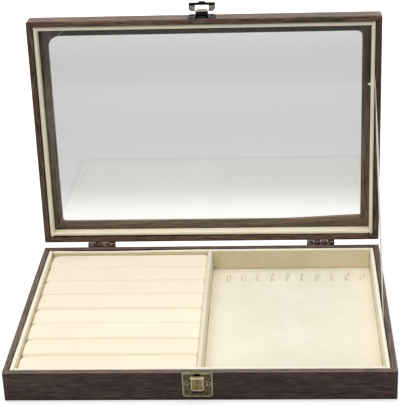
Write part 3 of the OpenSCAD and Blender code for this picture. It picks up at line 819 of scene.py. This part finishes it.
# A lighter copy of the cream for the lid's linings, painted for the strong light that falls on them.
LIT_CREAM = srgb(254, 246, 221), srgb(250, 240, 212), srgb(234, 222, 188)
LID_VELVET = velvet("velvet_lid_lining", *LIT_CREAM, 46, lit_edge_tone=srgb(254, 247, 223), lid=True)

# How open each groove is, from the back to the front
GROOVES = (1.0, 0.1, 0.4, 0.2, 0.8, 0.0, 0.8, 1.0, 0.3)
ROLLS = 8
for number in range(1, ROLLS + 1):
    corners = (0.0008 + 0.0032 * GROOVES[number - 1], 0.0008 + 0.0026 * GROOVES[number], 0.002)
    roll = soft_bar(
        f"velvet_ring_roll_{number}",
        f"ring_roll_{number}",
        corners,
        ((0.0075, 0.0036, 0.0044), (0.0035, 0.0016, 0.0024)),
        14,
        90,
        0.0004,
        0.00018,
        ROLL_VELVET,
    )
pad = soft_bar(
    "velvet_necklace_pad",
    "necklace_board",
    (0.0016, 0.0016, 0.0008),
    ((0.0014, 0.0014, 0.0011),) * 2,
    80,
    110,
    0.0002,
    0.00012,
    PAD_VELVET,
)


def swell(middle, width, by):
    """A bow that is by high at the middle and dies away over a width to both sides."""
    return lambda s: by * math.exp(-(((s - middle) / width) ** 2))


def slope(first, last, length):
    """A steady change from first, at the start, to last, at the end of a length."""
    return lambda s: first + (last - first) * (s / length + 0.5)


LONG, DEEP = 2 * LINED_X - 0.0002, 2 * (LINED_Y + LINING_T)
tray, still = (FLOOR_TOP, LINING_TOP), slope(0, 0, 1)
covered_strip("lining_front", "front", LONG, LINING_T, *tray, swell(0.05, 0.1, 0.0003), still, SIDE_VELVET)
bowed, sunk = swell(-0.115, 0.05, 0.0010), swell(-0.1, 0.05, -0.0005)
covered_strip("lining_back", "back", LONG, LINING_T, *tray, bowed, sunk, SHADED_BACK_VELVET)
covered_strip("lining_left", "left", DEEP, LINING_T, *tray, slope(-0.0004, -0.0004, 1), still, SIDE_VELVET)
covered_strip("lining_right", "right", DEEP, LINING_T, *tray, swell(-0.02, 0.06, 0.0003), still, SIDE_VELVET)
bowed = swell(0.02, 0.07, 0.0004)
covered_strip("divider", "middle", 2 * LINED_Y - 0.0002, 0.0044, *tray, bowed, still, DIVIDER_VELVET)
lid = (GLASS_FACE, LID_RIM + 0.0016)
leans = slope(0.0002, 0.0005, LONG), slope(0.0006, 0.0001, LONG), swell(0, 0.1, 0.0003)
covered_strip("lid_lining_front", "front", LONG, LINING_T, *lid, leans[0], still, LID_VELVET, True)
covered_strip("lid_lining_back", "back", LONG, LINING_T, *lid, leans[1], slope(-0.0008, 0, LONG), LID_VELVET, True)
covered_strip("lid_lining_left", "left", DEEP, LINING_T, *lid, leans[2], still, LID_VELVET, True)
covered_strip("lid_lining_right", "right", DEEP, LINING_T, *lid, leans[2], still, LID_VELVET, True)

FELT = (0.346, 0.236)
sheet = felt("felt_sheet_under_base", "underside_felt", FELT, 0.0008, felt_sheet())

SATIN = satin()
run = (RIBBON_HEAD - RIBBON_FOOT).normalized()
first, last = RIBBON_FOOT - run * RIBBON_TAIL, RIBBON_HEAD + run * RIBBON_TAIL
ribbon = grown(
    "satin_stay_ribbon",
    woven_strip(),
    start=first,
    end=last,
    width=RIBBON_W,
    thickness=RIBBON_T,
    selvedge=0.0001,
    twist=math.radians(14),
    steps=161,
    finish=SATIN,
)
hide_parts("stay_ribbon")
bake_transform(ribbon)

# The ribbon's slanted cut end, which shows under the lid's right lining
tip = [(LINED_X + 0.0008, -0.0492), (LINED_X + 0.0008, -0.0436), (LINED_X - 0.0012, -0.0452), (LINED_X - 0.0036, -0.0464)]
tip = [(x, y, z) for z in (GLASS_FACE - 0.00005, GLASS_FACE - 0.0004) for x, y in tip]
end = closed_piece(
    "satin_ribbon_end",
    opened(tip),
    [(0, 1, 2, 3), (7, 6, 5, 4), (0, 1, 5, 4), (1, 2, 6, 5), (2, 3, 7, 6), (3, 0, 4, 7)],
    SATIN,
    smooth=False,
)
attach(end, "lid")

# Finishes of the CAD nodes

# The last tone of each set is the painted highlight on the base's rim.
WALLS = (srgb(38, 26, 22), srgb(64, 48, 42), srgb(92, 74, 65), srgb(76, 51, 44), srgb(126, 104, 90))
RAILS = (srgb(56, 40, 29), srgb(94, 73, 58), srgb(136, 111, 90), srgb(116, 78, 62), srgb(134, 112, 97))
SHADED_RAILS = (srgb(46, 32, 23), srgb(82, 62, 48), srgb(122, 98, 79), srgb(104, 70, 55), srgb(134, 112, 97))
wrap_long = grained_wrap("wrapped_board_base", "X", WALLS, 0.44)
wrap_deep = grained_wrap("wrapped_board_base_sides", "Y", WALLS, 0.44, 5)
rail_long = grained_wrap("wrapped_board_lid", "X", RAILS, 0.42, 9, True)
rail_back = grained_wrap("wrapped_board_lid_back", "X", SHADED_RAILS, 0.42, 11, True)
rail_deep = grained_wrap("wrapped_board_lid_sides", "Y", SHADED_RAILS, 0.42, 13, True)
for node in ("base_front_wall", "base_back_wall", "floor_panel"):
    dress(node, wrap_long)
for node in ("base_left_wall", "base_right_wall"):
    dress(node, wrap_deep)
dress("lid_front_rail", rail_long)
dress("lid_back_rail", rail_back)
for node in ("lid_left_rail", "lid_right_rail"):
    dress(node, rail_deep)
PANEL = panel_wrap()
dress("lid_window_panel", PANEL)
turned_corner("window_corner_left", -1, 0.0122, PANEL)
turned_corner("window_corner_right", 1, 0.0056, PANEL)
swollen_foot("window_foot_wrap", 0.06, 0.0037, PANEL)
dress("lid_glass", window_pane())
wire = hook_steel()
for number in range(1, 11):
    dress(f"necklace_hook_{number}", wire)
bronze = antique_metal("antique_bronze", srgb(38, 25, 19), srgb(168, 144, 128), 0.26, 0.0)
hasp_bronze = antique_metal("hasp_bronze", srgb(9, 8, 7), srgb(52, 49, 43), 0.42, -0.03)
# Painted shade round the catch's nails and under its tongue.
NAIL_SHADE, TONGUE_SHADE = (0.0098, 0.0187, 0.00115, 0.00115), (0.0, 0.0104, 0.0055, 0.0017)
catch_bronze = antique_metal(
    "catch_bronze", srgb(92, 82, 56), srgb(212, 202, 174), 0.42, -0.03, 0.00098, [NAIL_SHADE, TONGUE_SHADE]
)
NECK_SHADE = (0.0, 0.0286, 0.0040, 0.0014)
brass = antique_metal("latch_brass", srgb(134, 116, 66), srgb(244, 228, 190), 0.36, 0.0, 0.0021, [NECK_SHADE])
nail = antique_metal("dark_nail", srgb(6, 5, 4), srgb(18, 16, 13), 0.75)
flap_bronze = highlighted_flap()
for side in ("left", "right"):
    dress(f"hinge_leaf_base_{side}", bronze, 0.00018)
    dress(f"hinge_leaf_lid_{side}", bronze, 0.00018)
    dress(f"hinge_pin_{side}", bronze, 0.0003)
for node in ("hinge_nails_base", "hinge_nails_lid"):
    dress(node, bronze, 0.0003, 3)
dress("catch_plate", catch_bronze, 0.00012)
dress("catch_tongue", brass, 0.00015)
dress("catch_nails", nail, 0.0002)
dress("hasp_nails", hasp_bronze, 0.0003, 3)
for node in ("hasp_plate", "hasp_pin"):
    dress(node, hasp_bronze, 0.00015)
dress("hasp_flap", flap_bronze, 0.00015)

studio()
